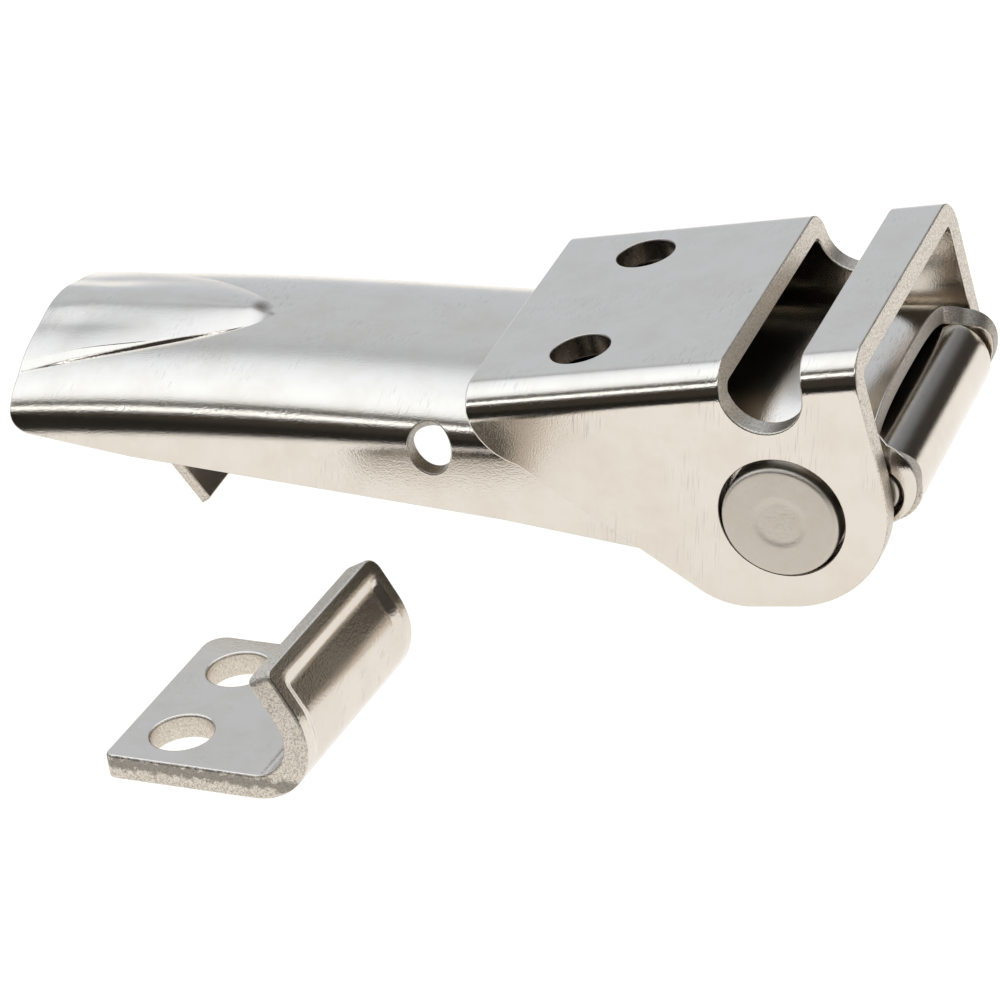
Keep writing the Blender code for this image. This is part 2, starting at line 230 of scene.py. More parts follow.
def pressed_sheet(name, loops, fold, sheet, rim, columns, rows, relief=None, creases=(), bored=99):
    """A blank folded into space, as a closed mesh with rounded rims.

    loops are the blank's outline, counter-clockwise, and its holes, clockwise. fold takes
    blank points to points on the sheet's outer face and their normals. columns and rows
    are where the blank is divided, creases are open lines that its faces follow, relief
    sinks the outer face, and the walls of the loops from index bored on are material 2.
    """
    core = [moved_in(loop, rim) for loop in loops]
    grid = np.array([(x, y) for x in columns for y in rows])
    grid = grid[inside(core, grid)]
    grid = grid[clear_of(core, grid, 0.3)]
    if creases:
        near = clear_of([np.concatenate([line, line[::-1]]) for line in creases], grid, 0.14)
        grid = grid[near]
    flat = np.concatenate([*core, *creases, grid])
    edges, start = [], 0
    for loop in core:
        edges += [(start + i, start + (i + 1) % len(loop)) for i in range(len(loop))]
        start += len(loop)
    for line in creases:
        edges += [(start + i, start + i + 1) for i in range(len(line) - 1)]
        start += len(line)
    found = delaunay_2d_cdt([Vector(p) for p in flat], edges, [], 0, 1e-6)
    origin = [ids[0] if ids else -1 for ids in found[3]]
    if -1 in origin:
        raise RuntimeError(f"{name}: lines of the blank cross")
    corners = np.array([[origin[i] for i in face] for face in found[2]])
    corners = corners[inside(core, flat[corners].mean(1))]

    def lifted(blank, depth):
        place, normal = fold(blank)
        sunk = relief(blank) if relief and depth < sheet / 2 else np.zeros(len(blank))
        return place - normal * (depth + sunk)[:, None]

    verts = [lifted(flat, 0.0), lifted(flat, sheet)]
    outward = fold(flat)[1]
    if relief:
        outward = bumped_normals(flat, lifted)
    normals = [outward, -fold(flat)[1]]
    faces = [tuple(face) for face in corners]
    faces += [tuple(face[::-1] + len(flat)) for face in corners]
    kinds = [0] * len(faces)
    turns = np.radians(np.linspace(0, 90, 4))
    first = 2 * len(flat)
    start = 0
    for index, loop in enumerate(loops):
        count = len(loop)
        ledge = fold(loop)[0] - fold(moved_in(loop, rim))[0]
        ledge /= np.linalg.norm(ledge, axis=1)[:, None]
        rings = [np.arange(start, start + count)]
        for low in (False, True):
            for turn in turns[1:] if not low else turns[:0:-1]:
                blank = moved_in(loop, rim * (1 - math.sin(turn)))
                depth = rim * (1 - math.cos(turn))
                normal = fold(blank)[1]
                verts.append(lifted(blank, sheet - depth if low else depth))
                side = -normal if low else normal
                normals.append(side * math.cos(turn) + ledge * math.sin(turn))
                rings.append(np.arange(first, first + count))
                first += count
        rings.append(np.arange(start, start + count) + len(flat))
        for ring, (upper, lower) in enumerate(zip(rings, rings[1:])):
            for i in range(count):
                j = (i + 1) % count
                faces.append((upper[j], upper[i], lower[i], lower[j]))
                rounded = 0 < ring < len(rings) - 2
                kinds.append((1 + int(index >= bored)) if rounded else 0)
        start += count
    return mesh_object(name, np.concatenate(verts), faces, kinds, np.concatenate(normals))


def bumped_normals(flat, lifted):
    """Normals of the outer face where relief sinks it, from small steps along the blank."""
    step = 0.004
    along = lifted(flat + (step, 0), 0.0) - lifted(flat - (step, 0), 0.0)
    across = lifted(flat + (0, step), 0.0) - lifted(flat - (0, step), 0.0)
    normal = np.cross(along, across)
    return normal / np.linalg.norm(normal, axis=1)[:, None]


def mesh_object(name, verts, faces, kinds, normals):
    """A smooth mesh object with its own normals, from millimetres to metres."""
    mesh = bpy.data.meshes.new(name)
    mesh.from_pydata((np.asarray(verts) * MM).tolist(), [], [[int(i) for i in f] for f in faces])
    mesh.polygons.foreach_set("material_index", kinds)
    mesh.shade_smooth()
    lengths = np.linalg.norm(normals, axis=1)[:, None]
    mesh.normals_split_custom_set_from_vertices((normals / lengths).tolist())
    mesh.update()
    made = bpy.data.objects.new(name, mesh)
    bpy.context.scene.collection.objects.link(made)
    return made


def settle(made, place, node, body, materials):
    """Puts a piece where its CAD node is, on its body, with its materials."""
    made.data.transform(place)
    for material in materials:
        made.data.materials.append(material)
    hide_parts(node)
    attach(made, body)
    return made


def at_joint(name, tilt):
    """The place of a piece that is shaped about a joint's axis and leans back by tilt."""
    return Matrix.Translation(JOINTS[name]["pos_m"]) @ Matrix.Rotation(-tilt, 4, "Y")


def turned(name, profile, steps=96, ripple=None):
    """A solid turned about Y from (radius, y) points, from its outer face to its inner end."""
    radii, heights = np.array(profile, float).T
    turn = np.linspace(0, 2 * np.pi, steps, endpoint=False)
    verts = [(0, heights[0], 0)]
    for radius, y in zip(radii[1:-1], heights[1:-1]):
        for a in turn:
            x, z = radius * math.cos(a), radius * math.sin(a)
            verts.append((x, y + (ripple(x, z) if ripple else 0) * (y > heights[-1] + 1), z))
    verts.append((0, heights[-1], 0))
    rings = len(profile) - 2
    faces = []
    for i in range(steps):
        j = (i + 1) % steps
        faces.append((0, 1 + i, 1 + j))
        for ring in range(rings - 1):
            a = 1 + ring * steps
            faces.append((a + i, a + steps + i, a + steps + j, a + j))
        last = 1 + (rings - 1) * steps
        faces.append((last + j, last + i, len(verts) - 1))
    mesh = bpy.data.meshes.new(name)
    mesh.from_pydata((np.array(verts) * MM).tolist(), [], faces)
    body = bmesh.new()
    body.from_mesh(mesh)
    bmesh.ops.recalc_face_normals(body, faces=body.faces)
    body.to_mesh(mesh)
    body.free()
    mesh.shade_smooth()
    mesh.set_sharp_from_angle(angle=math.radians(50))
    made = bpy.data.objects.new(name, mesh)
    bpy.context.scene.collection.objects.link(made)
    return made


# ---------------------------------------------------------------- folds


def channel_fold(half, top, bend):
    """Folds a blank into a flat web with two bends and ears. Blank x is along, y is across."""
    flat, quarter = half - bend, bend * math.pi / 2

    def fold(blank):
        along, across = blank.T
        side, reach = np.sign(across), np.abs(across)
        turn = np.clip((reach - flat) / bend, 0, math.pi / 2)
        drop = np.maximum(reach - flat - quarter, 0)
        y = side * (np.minimum(reach, flat) + bend * np.sin(turn))
        w = top - bend * (1 - np.cos(turn)) - drop
        normal = np.c_[np.zeros_like(along), side * np.sin(turn), np.cos(turn)]
        return np.c_[along, y, w], normal

    return fold


def path_fold(path, side):
    """Folds a blank along a path of (x, z) points. Blank x is the distance along it.

    The sheet's outer face looks to the path's left where side is 1, and to its right where
    side is -1, and then the blank's y runs against the piece's.
    """
    steps = np.linalg.norm(np.diff(path, axis=0), axis=1)
    gone = np.r_[0, np.cumsum(steps)]
    ahead = np.gradient(path, gone, axis=0)
    ahead /= np.linalg.norm(ahead, axis=1)[:, None]

    def fold(blank):
        along, across = blank.T
        x, z = (np.interp(along, gone, path[:, i]) for i in (0, 1))
        dx, dz = (np.interp(along, gone, ahead[:, i]) for i in (0, 1))
        size = np.hypot(dx, dz)
        return np.c_[x, side * across, z], side * np.c_[-dz / size, np.zeros_like(x), dx / size]

    return fold, gone


# The lever's section is a superellipse: its middle is nearly flat and its corners are soft.
# Its height above the pivot is a cubic through stations along the lever, in millimetres.
CROWN = ((-61.8, 7.9), (-44.0, 8.3), (-23.0, 7.394), (7.0, 6.97))
SECTION_POWER = 2.8
SECTION_FOOT = 2.5
SECTION_HALF_WIDTH = 11.4
SECTION_RISE = 5.4
SCOOP_TIP = -43.8
SCOOP_LENGTH = 17.4
SCOOP_HALF_WIDTH = 8.3


def section_lengths(half, rise):
    """Angles of half a section, and the distances along it from the middle."""
    turns = np.linspace(0, math.pi / 2, 4001)
    y = half * np.sin(turns) ** (2 / SECTION_POWER)
    w = rise * np.cos(turns).clip(0) ** (2 / SECTION_POWER)
    return turns, np.r_[0, np.cumsum(np.hypot(np.diff(y), np.diff(w)))]


TURNS, GONE = section_lengths(SECTION_HALF_WIDTH, SECTION_RISE)
SECTION = GONE[-1]


def smooth(value, low, high):
    """A smooth step from 0 at low to 1 at high."""
    share = np.clip((value - low) / (high - low), 0, 1)
    return share * share * (3 - 2 * share)


def scoop_step(share):
    """Heights and widths of the scoop's edge: a steep foot, a sloping ledge and a top line."""
    grow = np.sqrt(np.clip(share / 0.25, 0.0001, 1))
    ledge = smooth(share, 0.38, 0.85)
    foot = 0.44 * smooth(share, 0, 0.45) * (1 - 0.5 * smooth(share, 0.8, 1.0))
    heights = (foot, 0.36 * ledge, 0.1 * smooth(share, 0.3, 0.6))
    return heights, (0.26 * grow, (0.04 + 0.6 * ledge) * grow, 0.1 * grow)


def scoop_rise(along, y, height):
    """How far the finger scoop stands above the web: a dome on a stepped edge.

    Its edge is a parabola from its tip. Its crest leans to +y towards the free end, where
    its step on that side is lower.
    """
    share = np.clip((SCOOP_TIP - along) / SCOOP_LENGTH, 0, None)
    half = SCOOP_HALF_WIDTH * np.sqrt(np.maximum(share, 1e-9))
    inward = half - np.abs(y)
    (foot, ledge, line), (wide, wider, thin) = scoop_step(share)
    edge = foot * smooth(inward / wide, 0, 1) + ledge * np.clip((inward - wide) / wider, 0, 1)
    edge = edge + line * smooth((inward - wide - wider) / thin, 0, 1)
    edge = edge * np.where(y > 0, 1 - 0.7 * share.clip(0, 1) * smooth(y, 0, 4), 1)
    crest = 1.8 * share
    across = np.abs(y - crest) / np.maximum(half - crest * np.sign(y - crest), 1e-3)
    top = height * share**0.4 * smooth(share, -0.02, 0.1)
    dome = (top - foot - ledge - line).clip(0) * (1 - across.clip(0, 1) ** 1.5) ** 1.1
    return np.where((share > 0) & (inward > 0), dome + edge, 0)


def lever_fold(sizes):
    """Folds a blank into the lever: web, scoop, soft corners and flanges."""
    half, height = sizes.half_width / MM, sizes.scoop / MM

    def place(blank):
        along, across = blank.T
        side, reach = np.sign(across), np.abs(across)
        turn = np.interp(reach, GONE, TURNS)
        y = half * np.sin(turn) ** (2 / SECTION_POWER)
        rise = np.polyval(np.polyfit(*np.array(CROWN).T, 3), along) - SECTION_FOOT
        w = SECTION_FOOT + rise * np.cos(turn).clip(0) ** (2 / SECTION_POWER)
        w = w + scoop_rise(along, y, height) - np.maximum(reach - SECTION, 0)
        return np.c_[along, side * y, w]

    def fold(blank):
        step = 0.004
        along = place(blank + (step, 0)) - place(blank - (step, 0))
        across = place(blank + (0, step)) - place(blank - (0, step))
        normal = np.cross(along, across)
        return place(blank), normal / np.linalg.norm(normal, axis=1)[:, None]

    return fold


def flange(w, side):
    """The lever blank's across value of a height on its flange."""
    return side * (SECTION + SECTION_FOOT - np.asarray(w))


# ---------------------------------------------------------------- node groups


def new_group(name, inputs, outputs):
    """A shader node group with float inputs, and outputs given as (name, kind)."""
    group = bpy.data.node_groups.new(name, "ShaderNodeTree")
    for label, default in inputs:
        socket = group.interface.new_socket(label, in_out="INPUT", socket_type="NodeSocketFloat")
        socket.default_value = default
    for label, kind in outputs:
        group.interface.new_socket(label, in_out="OUTPUT", socket_type="NodeSocket" + kind)
    start = group.nodes.new("NodeGroupInput")
    end = group.nodes.new("NodeGroupOutput")
    return group, start, end


def node(tree, kind, **values):
    """A shader node with its settings and input values set by name."""
    made = tree.nodes.new("ShaderNode" + kind)
    for key, value in values.items():
        label = key.replace("_", " ")
        if key in made.bl_rna.properties:
            setattr(made, key, value)
        else:
            made.inputs[int(key[2:]) if key.startswith("in") else label].default_value = value
    return made


def ramp(tree, stops):
    """A colour ramp from (place, grey or colour) stops."""
    made = tree.nodes.new("ShaderNodeValToRGB")
    elements = made.color_ramp.elements
    while len(elements) < len(stops):
        elements.new(0.5)
    for element, (place, value) in zip(elements, stops):
        element.position = place
        element.color = (*value, 1) if isinstance(value, tuple) else (value, value, value, 1)
    return made


def plating_grain():
    """Orange peel and fine specks of bright plating, as a height and a mask."""
    group, start, end = new_group(
        "plating_grain", [("Size", 0.0004), ("Specks", 0.5)], [("Height", "Float"), ("Mask", "Float")]
    )
    link = group.links.new
    where = node(group, "TexCoord")
    scale = node(group, "Math", operation="DIVIDE", in0=1.0)
    link(start.outputs["Size"], scale.inputs[1])
    peel = node(group, "TexNoise", Detail=2.0, Roughness=0.55)
    link(where.outputs["Object"], peel.inputs["Vector"])
    link(scale.outputs[0], peel.inputs["Scale"])
    finer = node(group, "Math", operation="MULTIPLY", in1=3.1)
    link(scale.outputs[0], finer.inputs[0])
    speck = node(group, "TexNoise", Detail=3.0, Roughness=0.7)
    link(where.outputs["Object"], speck.inputs["Vector"])
    link(finer.outputs[0], speck.inputs["Scale"])
    pits = ramp(group, [(0.62, 0.0), (0.74, 1.0)])
    link(speck.outputs["Fac"], pits.inputs[0])
    mask = node(group, "Math", operation="MULTIPLY")
    link(pits.outputs[0], mask.inputs[0])
    link(start.outputs["Specks"], mask.inputs[1])
    dent = node(group, "Math", operation="MULTIPLY_ADD", in1=-0.35)
    link(mask.outputs[0], dent.inputs[0])
    link(peel.outputs["Fac"], dent.inputs[2])
    link(dent.outputs[0], end.inputs["Height"])
    link(mask.outputs[0], end.inputs["Mask"])
    return group


def rub_marks():
    """Fine straight scratches across the piece's height, in patches."""
    group, start, end = new_group(
        "rub_marks", [("Pitch", 0.00016), ("Amount", 0.5), ("Lean", 0.0)], [("Mask", "Float")]
    )
    link = group.links.new
    where = node(group, "TexCoord")
    lean = node(group, "VectorRotate", rotation_type="Y_AXIS")
    link(where.outputs["Object"], lean.inputs["Vector"])
    link(start.outputs["Lean"], lean.inputs["Angle"])
    stretch = node(group, "Mapping", Scale=(1.0, 0.1, 0.045))
    link(lean.outputs[0], stretch.inputs["Vector"])
    scale = node(group, "Math", operation="DIVIDE", in0=1.0)
    link(start.outputs["Pitch"], scale.inputs[1])
    lines = node(group, "TexNoise", Detail=1.0, Roughness=0.5)
    link(stretch.outputs[0], lines.inputs["Vector"])
    link(scale.outputs[0], lines.inputs["Scale"])
    thin = ramp(group, [(0.6, 0.0), (0.7, 1.0)])
    link(lines.outputs["Fac"], thin.inputs[0])
    patches = node(group, "TexNoise", Scale=170.0, Detail=1.5)
    link(where.outputs["Object"], patches.inputs["Vector"])
    area = ramp(group, [(0.5, 0.0), (0.66, 1.0)])
    link(patches.outputs["Fac"], area.inputs[0])
    both = node(group, "Math", operation="MULTIPLY")
    link(thin.outputs[0], both.inputs[0])
    link(area.outputs[0], both.inputs[1])
    mask = node(group, "Math", operation="MULTIPLY", use_clamp=True)
    link(both.outputs[0], mask.inputs[0])
    link(start.outputs["Amount"], mask.inputs[1])
    link(mask.outputs[0], end.inputs["Mask"])
    return group


def edge_wear():
    """Where handling has worn the plating: along sharp edges, broken up by noise."""
    group, start, end = new_group(
        "edge_wear", [("Reach", 0.00018), ("Amount", 0.6)], [("Mask", "Float")]
    )
    link = group.links.new
    soft = node(group, "Bevel", samples=4)
    link(start.outputs["Reach"], soft.inputs["Radius"])
    hard = node(group, "NewGeometry")
    agree = node(group, "VectorMath", operation="DOT_PRODUCT")
    link(soft.outputs[0], agree.inputs[0])
    link(hard.outputs["Normal"], agree.inputs[1])
    edge = node(group, "MapRange", in1=0.995, in2=0.9, in3=0.0, in4=1.0)
    link(agree.outputs["Value"], edge.inputs[0])
    where = node(group, "TexCoord")
    patchy = node(group, "TexNoise", Scale=900.0, Detail=3.0)
    link(where.outputs["Object"], patchy.inputs["Vector"])
    broken = ramp(group, [(0.38, 0.0), (0.6, 1.0)])
    link(patchy.outputs["Fac"], broken.inputs[0])
    both = node(group, "Math", operation="MULTIPLY")
    link(edge.outputs[0], both.inputs[0])
    link(broken.outputs[0], both.inputs[1])
    mask = node(group, "Math", operation="MULTIPLY", use_clamp=True)
    link(both.outputs[0], mask.inputs[0])
    link(start.outputs["Amount"], mask.inputs[1])
    link(mask.outputs[0], end.inputs["Mask"])
    return group


def stain_film():
    """A faint uneven film in the plating, as a mask."""
    group, start, end = new_group("stain_film", [("Size", 0.006), ("Amount", 0.3)], [("Mask", "Float")])
    link = group.links.new
    where = node(group, "TexCoord")
    scale = node(group, "Math", operation="DIVIDE", in0=1.0)
    link(start.outputs["Size"], scale.inputs[1])
    cloud = node(group, "TexNoise", Detail=5.0, Roughness=0.62)
    link(where.outputs["Object"], cloud.inputs["Vector"])
    link(scale.outputs[0], cloud.inputs["Scale"])
    area = ramp(group, [(0.42, 0.0), (0.72, 1.0)])
    link(cloud.outputs["Fac"], area.inputs[0])
    mask = node(group, "Math", operation="MULTIPLY", use_clamp=True)
    link(area.outputs[0], mask.inputs[0])
    link(start.outputs["Amount"], mask.inputs[1])
    link(mask.outputs[0], end.inputs["Mask"])
    return group


EFFECTS = {}


def effect(tree, maker, **values):
    """One of the shared node groups, built once, placed with its own values."""
    if maker.__name__ not in EFFECTS:
        EFFECTS[maker.__name__] = maker()
    placed = tree.nodes.new("ShaderNodeGroup")
    placed.node_tree = EFFECTS[maker.__name__]
    for label, value in values.items():
        placed.inputs[label].default_value = value
    return placed


def nickel(name, base, stain, rough, peel=0.00013, bump=0.000008, specks=0.45, rubs=0.35, lean=-0.14,
           film=0.3, film_size=0.0035, wear=0.4, pitch=0.0001):
    """Nickel plating with grain, rub marks, a faint film and worn edges."""
    made = bpy.data.materials.new(name)
    made.use_nodes = True
    tree = made.node_tree
    link = tree.links.new
    shader = tree.nodes["Principled BSDF"]
    shader.inputs["Metallic"].default_value = 1.0
    grain = effect(tree, plating_grain, Size=peel, Specks=specks)
    rub = effect(tree, rub_marks, Amount=rubs, Lean=lean, Pitch=pitch)
    worn = effect(tree, edge_wear, Amount=wear)
    cloud = effect(tree, stain_film, Amount=film, Size=film_size)
    mixes = [
        (cloud, "Mask", tuple(stain)),
        (grain, "Mask", tuple(c * 0.55 for c in base)),
        (rub, "Mask", tuple(c * 0.6 for c in base)),
        (worn, "Mask", tuple(min(1.0, c * 1.22) for c in base)),
    ]
    last = None
    for source, socket, tint in mixes:
        mix = node(tree, "Mix", data_type="RGBA")
        mix.inputs[6].default_value = (*base, 1)
        mix.inputs[7].default_value = (*tint, 1)
        link(source.outputs[socket], mix.inputs[0])
        if last:
            link(last.outputs[2], mix.inputs[6])
        last = mix
    link(last.outputs[2], shader.inputs["Base Color"])
    rougher = None
    for source, amount in ((grain, 0.12), (rub, 0.22), (cloud, 0.08), (worn, 0.05)):
        step = node(tree, "Math", operation="MULTIPLY_ADD", in1=amount, in2=rough)
        link(source.outputs["Mask"], step.inputs[0])
        if rougher:
            link(rougher.outputs[0], step.inputs[2])
        rougher = step
    link(rougher.outputs[0], shader.inputs["Roughness"])
    dent = node(tree, "Math", operation="MULTIPLY_ADD", in1=-0.5)
    link(rub.outputs["Mask"], dent.inputs[0])
    link(grain.outputs["Height"], dent.inputs[2])
    relief = node(tree, "Bump", Strength=1.0, Distance=bump)
    link(dent.outputs[0], relief.inputs["Height"])
    link(relief.outputs[0], shader.inputs["Normal"])
    return made


def sheared_nickel(name, base, rough=0.34, bump=0.00003, even=0.0, torn_at=None):
    """Plating over a sheared rim: grainy and duller than the faces.

    even takes the dark grain away, and torn_at is the height of a dark torn band.
    """
    made = bpy.data.materials.new(name)
    made.use_nodes = True
    tree = made.node_tree
    link = tree.links.new
    shader = tree.nodes["Principled BSDF"]
    shader.inputs["Metallic"].default_value = 1.0
    where = node(tree, "TexCoord")
    torn = node(tree, "TexNoise", Scale=7500.0, Detail=3.0, Roughness=0.6)
    link(where.outputs["Object"], torn.inputs["Vector"])
    dark = 0.62 + 0.38 * even
    tint = ramp(tree, [(0.38, tuple(c * dark for c in base)), (0.52, tuple(base)),
                       (0.7, tuple(min(1.0, c * 1.15) for c in base))])
    link(torn.outputs["Fac"], tint.inputs[0])
    last = tint.outputs[0]
    if torn_at is not None:
        parts = node(tree, "SeparateXYZ")
        link(where.outputs["Object"], parts.inputs[0])
        rough_line = node(tree, "TexNoise", Scale=1700.0, Detail=4.0, Roughness=0.7)
        link(where.outputs["Object"], rough_line.inputs["Vector"])
        off = node(tree, "Math", operation="MULTIPLY_ADD", in1=0.0016, in2=-torn_at - 0.0008)
        link(rough_line.outputs["Fac"], off.inputs[0])
        height = node(tree, "Math", operation="ADD")
        link(parts.outputs["Z"], height.inputs[0])
        link(off.outputs[0], height.inputs[1])
        away = node(tree, "Math", operation="ABSOLUTE")
        link(height.outputs[0], away.inputs[0])
        band = node(tree, "MapRange", in1=0.0003, in2=0.00055, in3=0.8, in4=0.0)
        link(away.outputs[0], band.inputs[0])
        tear = node(tree, "Mix", data_type="RGBA")
        tear.inputs[7].default_value = (*(c * 0.3 for c in base), 1)
        link(band.outputs[0], tear.inputs[0])
        link(last, tear.inputs[6])
        last = tear.outputs[2]
    link(last, shader.inputs["Base Color"])
    spread = node(tree, "MapRange", in1=0.3, in2=0.7, in3=rough + 0.16, in4=rough - 0.08)
    link(torn.outputs["Fac"], spread.inputs[0])
    link(spread.outputs[0], shader.inputs["Roughness"])
    relief = node(tree, "Bump", Strength=0.8, Distance=bump)
    link(torn.outputs["Fac"], relief.inputs["Height"])
    link(relief.outputs[0], shader.inputs["Normal"])
    return made


# ---------------------------------------------------------------- pieces


class LatchPiece:
    """What the operators of the pieces share."""

    bl_options = {"REGISTER", "UNDO"}

    def looks(self, context):
        return context.scene.latch_nickel


class LATCH_OT_bracket(LatchPiece, bpy.types.Operator):
    """Press the mounting bracket: web, cross slot, screw holes and two ears"""

    bl_idname = "latch.bracket"
    bl_label = "Base Bracket"

    def execute(self, context):
        sizes, looks = context.scene.latch_bracket, self.looks(context)
        half, top, bend = sizes.width / 2 / MM, sizes.web / MM, sizes.bend / MM
        flat = half - bend
        ears = flat + bend * math.pi / 2 + top - bend

        def ear(points, side):
            """Points given from the pivot, laid out on the blank's ear."""
            points = np.asarray(points, float)
            return np.c_[points[:, 0], side * (ears - points[:, 1])]

        left, right = -22.0, 8.3
        lower = np.concatenate([
            arc((-16.9, 10.6), 5.1, 180, 245, 10),
            arc((-3.4, -0.95), 6.0, 222, 262, 8),
            arc((-0.2, 1.3), 8.45, 270, 355, 22),
            [(right, 2.4)],
        ])
        outline = np.concatenate([ear(lower, -1), ear(lower[::-1], 1)])
        slot_left, slot_right, floor = -2.1, 4.0, 7.1
        reach = (slot_right - slot_left) / 2
        middle = (slot_left + slot_right) / 2
        end = ears - floor - reach
        slot = np.concatenate([
            arc((middle, end), reach, 180, 0, 20),
            arc((middle, -end), reach, 0, -180, 20),
        ])
        screw = sizes.screw_hole / 2 / MM
        holes = [ellipse((-14.4, side * 7.7), screw, screw) for side in (-1, 1)]
        pivots = [ellipse((0.14, side * (ears - 0.25)), 4.7, 4.7, 64) for side in (-1, 1)]
        loops = [subdivided(loop, 0.7) for loop in (outline, slot, *holes, *pivots)]
        bends = np.linspace(flat, flat + bend * math.pi / 2, 13)
        rows = np.r_[-bends[::-1], bends, np.arange(-flat + 1, flat - 0.5, 1.2)]
        rows = np.r_[rows, bends[-1] + np.arange(1, 22, 1.3), -bends[-1] - np.arange(1, 22, 1.3)]
        made = pressed_sheet(
            "base_bracket_shell", loops, channel_fold(half, top, bend), sizes.sheet / MM,
            sizes.rim / MM, np.arange(left, right, 0.9), rows, bored=2,
        )
        shine = nickel("bright_nickel_bracket", looks.bright, looks.stain, 0.1)
        edge = sheared_nickel("sheared_nickel_bracket", looks.sheared)
        # painted shade: the walls of the bracket's holes get a near-black colour in place of the shade
        # that falls inside them and round the journals
        wall = sheared_nickel("drilled_nickel_bracket", looks.drilled, 0.3, 0.00001, 0.7)
        place = at_joint("lever_pivot", sizes.tilt)
        settle(made, place, "base_bracket", "bracket", [shine, edge, wall])
        return {"FINISHED"}


class LATCH_OT_lever(LatchPiece, bpy.types.Operator):
    """Press the lever: arched web with a finger scoop, two flanges, lock and pin holes"""

    bl_idname = "latch.lever"
    bl_label = "Lever"

    def execute(self, context):
        sizes, looks = context.scene.latch_lever, self.looks(context)

        def on_flange(points, side):
            points = np.asarray(points, float)
            return np.c_[points[:, 0], flange(points[:, 1], side)]

        lower = np.concatenate([
            arc((-59.9, 5.2), 1.9, 180, 255, 10),
            [(-52.0, 1.75), (-22.5, -2.25)],
            arc((0, 0), 6.2, 262, 315, 12),
            arc((6.2, 2.35), 3.65, -70, 66, 24),
        ])
        outline = np.concatenate([on_flange(lower, -1), [(6.5, -9.7), (6.5, 9.7)],
                                  on_flange(lower[::-1], 1)])
        holes = []
        for side in (-1, 1):
            across = float(flange(0.0, side))
            holes.append(ellipse((-27.4, float(flange(3.6, side))), 1.68, 2.15))
            holes.append(ellipse((0, across), 3.05, 3.05, 48))
            holes.append(ellipse((6.47, float(flange(1.43, side))), 2.2, 2.2, 40))
        loops = [subdivided(loop, 0.5) for loop in (outline, *holes)]
        web = np.r_[np.arange(0, 9.5, 0.3), np.linspace(9.6, SECTION, 20)]
        low = SECTION + np.arange(0.8, 16, 1.1)
        rows = np.r_[web, -web[1:], low, -low]
        scoop = SCOOP_TIP - SCOOP_LENGTH * np.linspace(0, 1.05, 60)
        columns = np.r_[scoop, np.arange(SCOOP_TIP + 0.5, 9, 0.9)]
        made = pressed_sheet(
            "lever_shell", loops, lever_fold(sizes), sizes.sheet / MM, sizes.rim / MM, columns, rows,
            creases=self.creases(sizes),
        )
        shine = nickel("bright_nickel_lever", looks.bright, looks.stain, 0.12, bump=0.00001)
        edge = sheared_nickel("sheared_nickel_lever", tuple(0.6 * c for c in looks.sheared))
        place = at_joint("lever_pivot", sizes.tilt)
        settle(made, place, "lever", "lever", [shine, edge])
        return {"FINISHED"}


    def creases(self, sizes):
        """Lines of the blank along the scoop's stepped edge."""
        share = np.linspace(0.05, 1, 80) ** 2 * 1.018
        along = SCOOP_TIP - SCOOP_LENGTH * share
        half = SCOOP_HALF_WIDTH * np.sqrt(share)
        wide, wider, thin = scoop_step(share)[1]
        insets = [-0.2 * wide, *(wide * part for part in (0, 0.25, 0.5, 0.75, 1)),
                  wide + wider / 2, *(wide + wider + thin * part for part in (0, 0.33, 0.67, 1)),
                  wide + wider + thin * 1.6]
        lines = []
        for inset in insets:
            y = (half - inset).clip(0.01)
            turn = np.arcsin((y * MM / sizes.half_width) ** (SECTION_POWER / 2))
            reach = np.interp(turn, TURNS, GONE)
            lines += [np.c_[along, reach], np.c_[along, -reach]]
        return lines


class LATCH_OT_drawbar(LatchPiece, bpy.types.Operator):
    """Roll the drawbar: roll, tapering strap and hook"""

    bl_idname = "latch.drawbar"
    bl_label = "Drawbar"

    def execute(self, context):
        sizes, looks = context.scene.latch_drawbar, self.looks(context)
        sheet, roll = sizes.sheet / MM, sizes.roll / MM
        corner, tip, bend = np.array((-63.0, 1.5)), np.array((-56.7, -8.45)), 1.6
        middle = roll - sheet / 2
        lean = math.atan2(-corner[1], -corner[0]) + math.asin(middle / np.linalg.norm(corner))
        on = np.array((math.cos(lean), math.sin(lean)))
        back = (tip - corner) / np.linalg.norm(tip - corner)
        out = np.array((back[1], -back[0]))
        half_turn = math.acos(float(back @ on)) / 2
        centre = corner + (back + on) / np.linalg.norm(back + on) * bend / math.sin(half_turn)
        top = 90 + math.degrees(lean)
        knee = arc(centre, bend + sheet / 2, math.degrees(math.atan2(out[1], out[0])) % 360, top, 14)
        sweep = 303
        path = np.concatenate([[tip + out * sheet / 2], knee, arc((0, 0), roll, top, top - sweep, 90)])
        fold, gone = path_fold(subdivided_path(path, 0.4), 1)
        total = gone[-1]
        start = total - math.radians(sweep) * roll
        wide, strap, hook = (getattr(sizes, key) / MM for key in
                             ("roll_half_width", "strap_half_width", "hook_half_width"))
        half = np.array([
            (0, hook), (start - 48, hook), (start - 24, strap), (start - 4.8, strap),
            (start - 3.5, strap + 1.0), (start - 3.4, wide), (total, wide),
        ])
        outline = np.concatenate([half * (1, -1), half[::-1]])
        loops = [subdivided(outline, 0.5)]
        made = pressed_sheet(
            "drawbar_shell", loops, fold, sheet, sizes.rim / MM,
            np.r_[np.arange(0, start, 0.6), np.arange(start, total, 0.22)],
            np.arange(-wide + 0.5, wide, 1.1),
        )
        shine = nickel("bright_nickel_drawbar", looks.bright, looks.stain, 0.11, rubs=0.2)
        edge = sheared_nickel("sheared_nickel_drawbar", looks.sheared)
        settle(made, at_joint("hook_pivot", 0), "drawbar", "drawbar", [shine, edge])
        return {"FINISHED"}


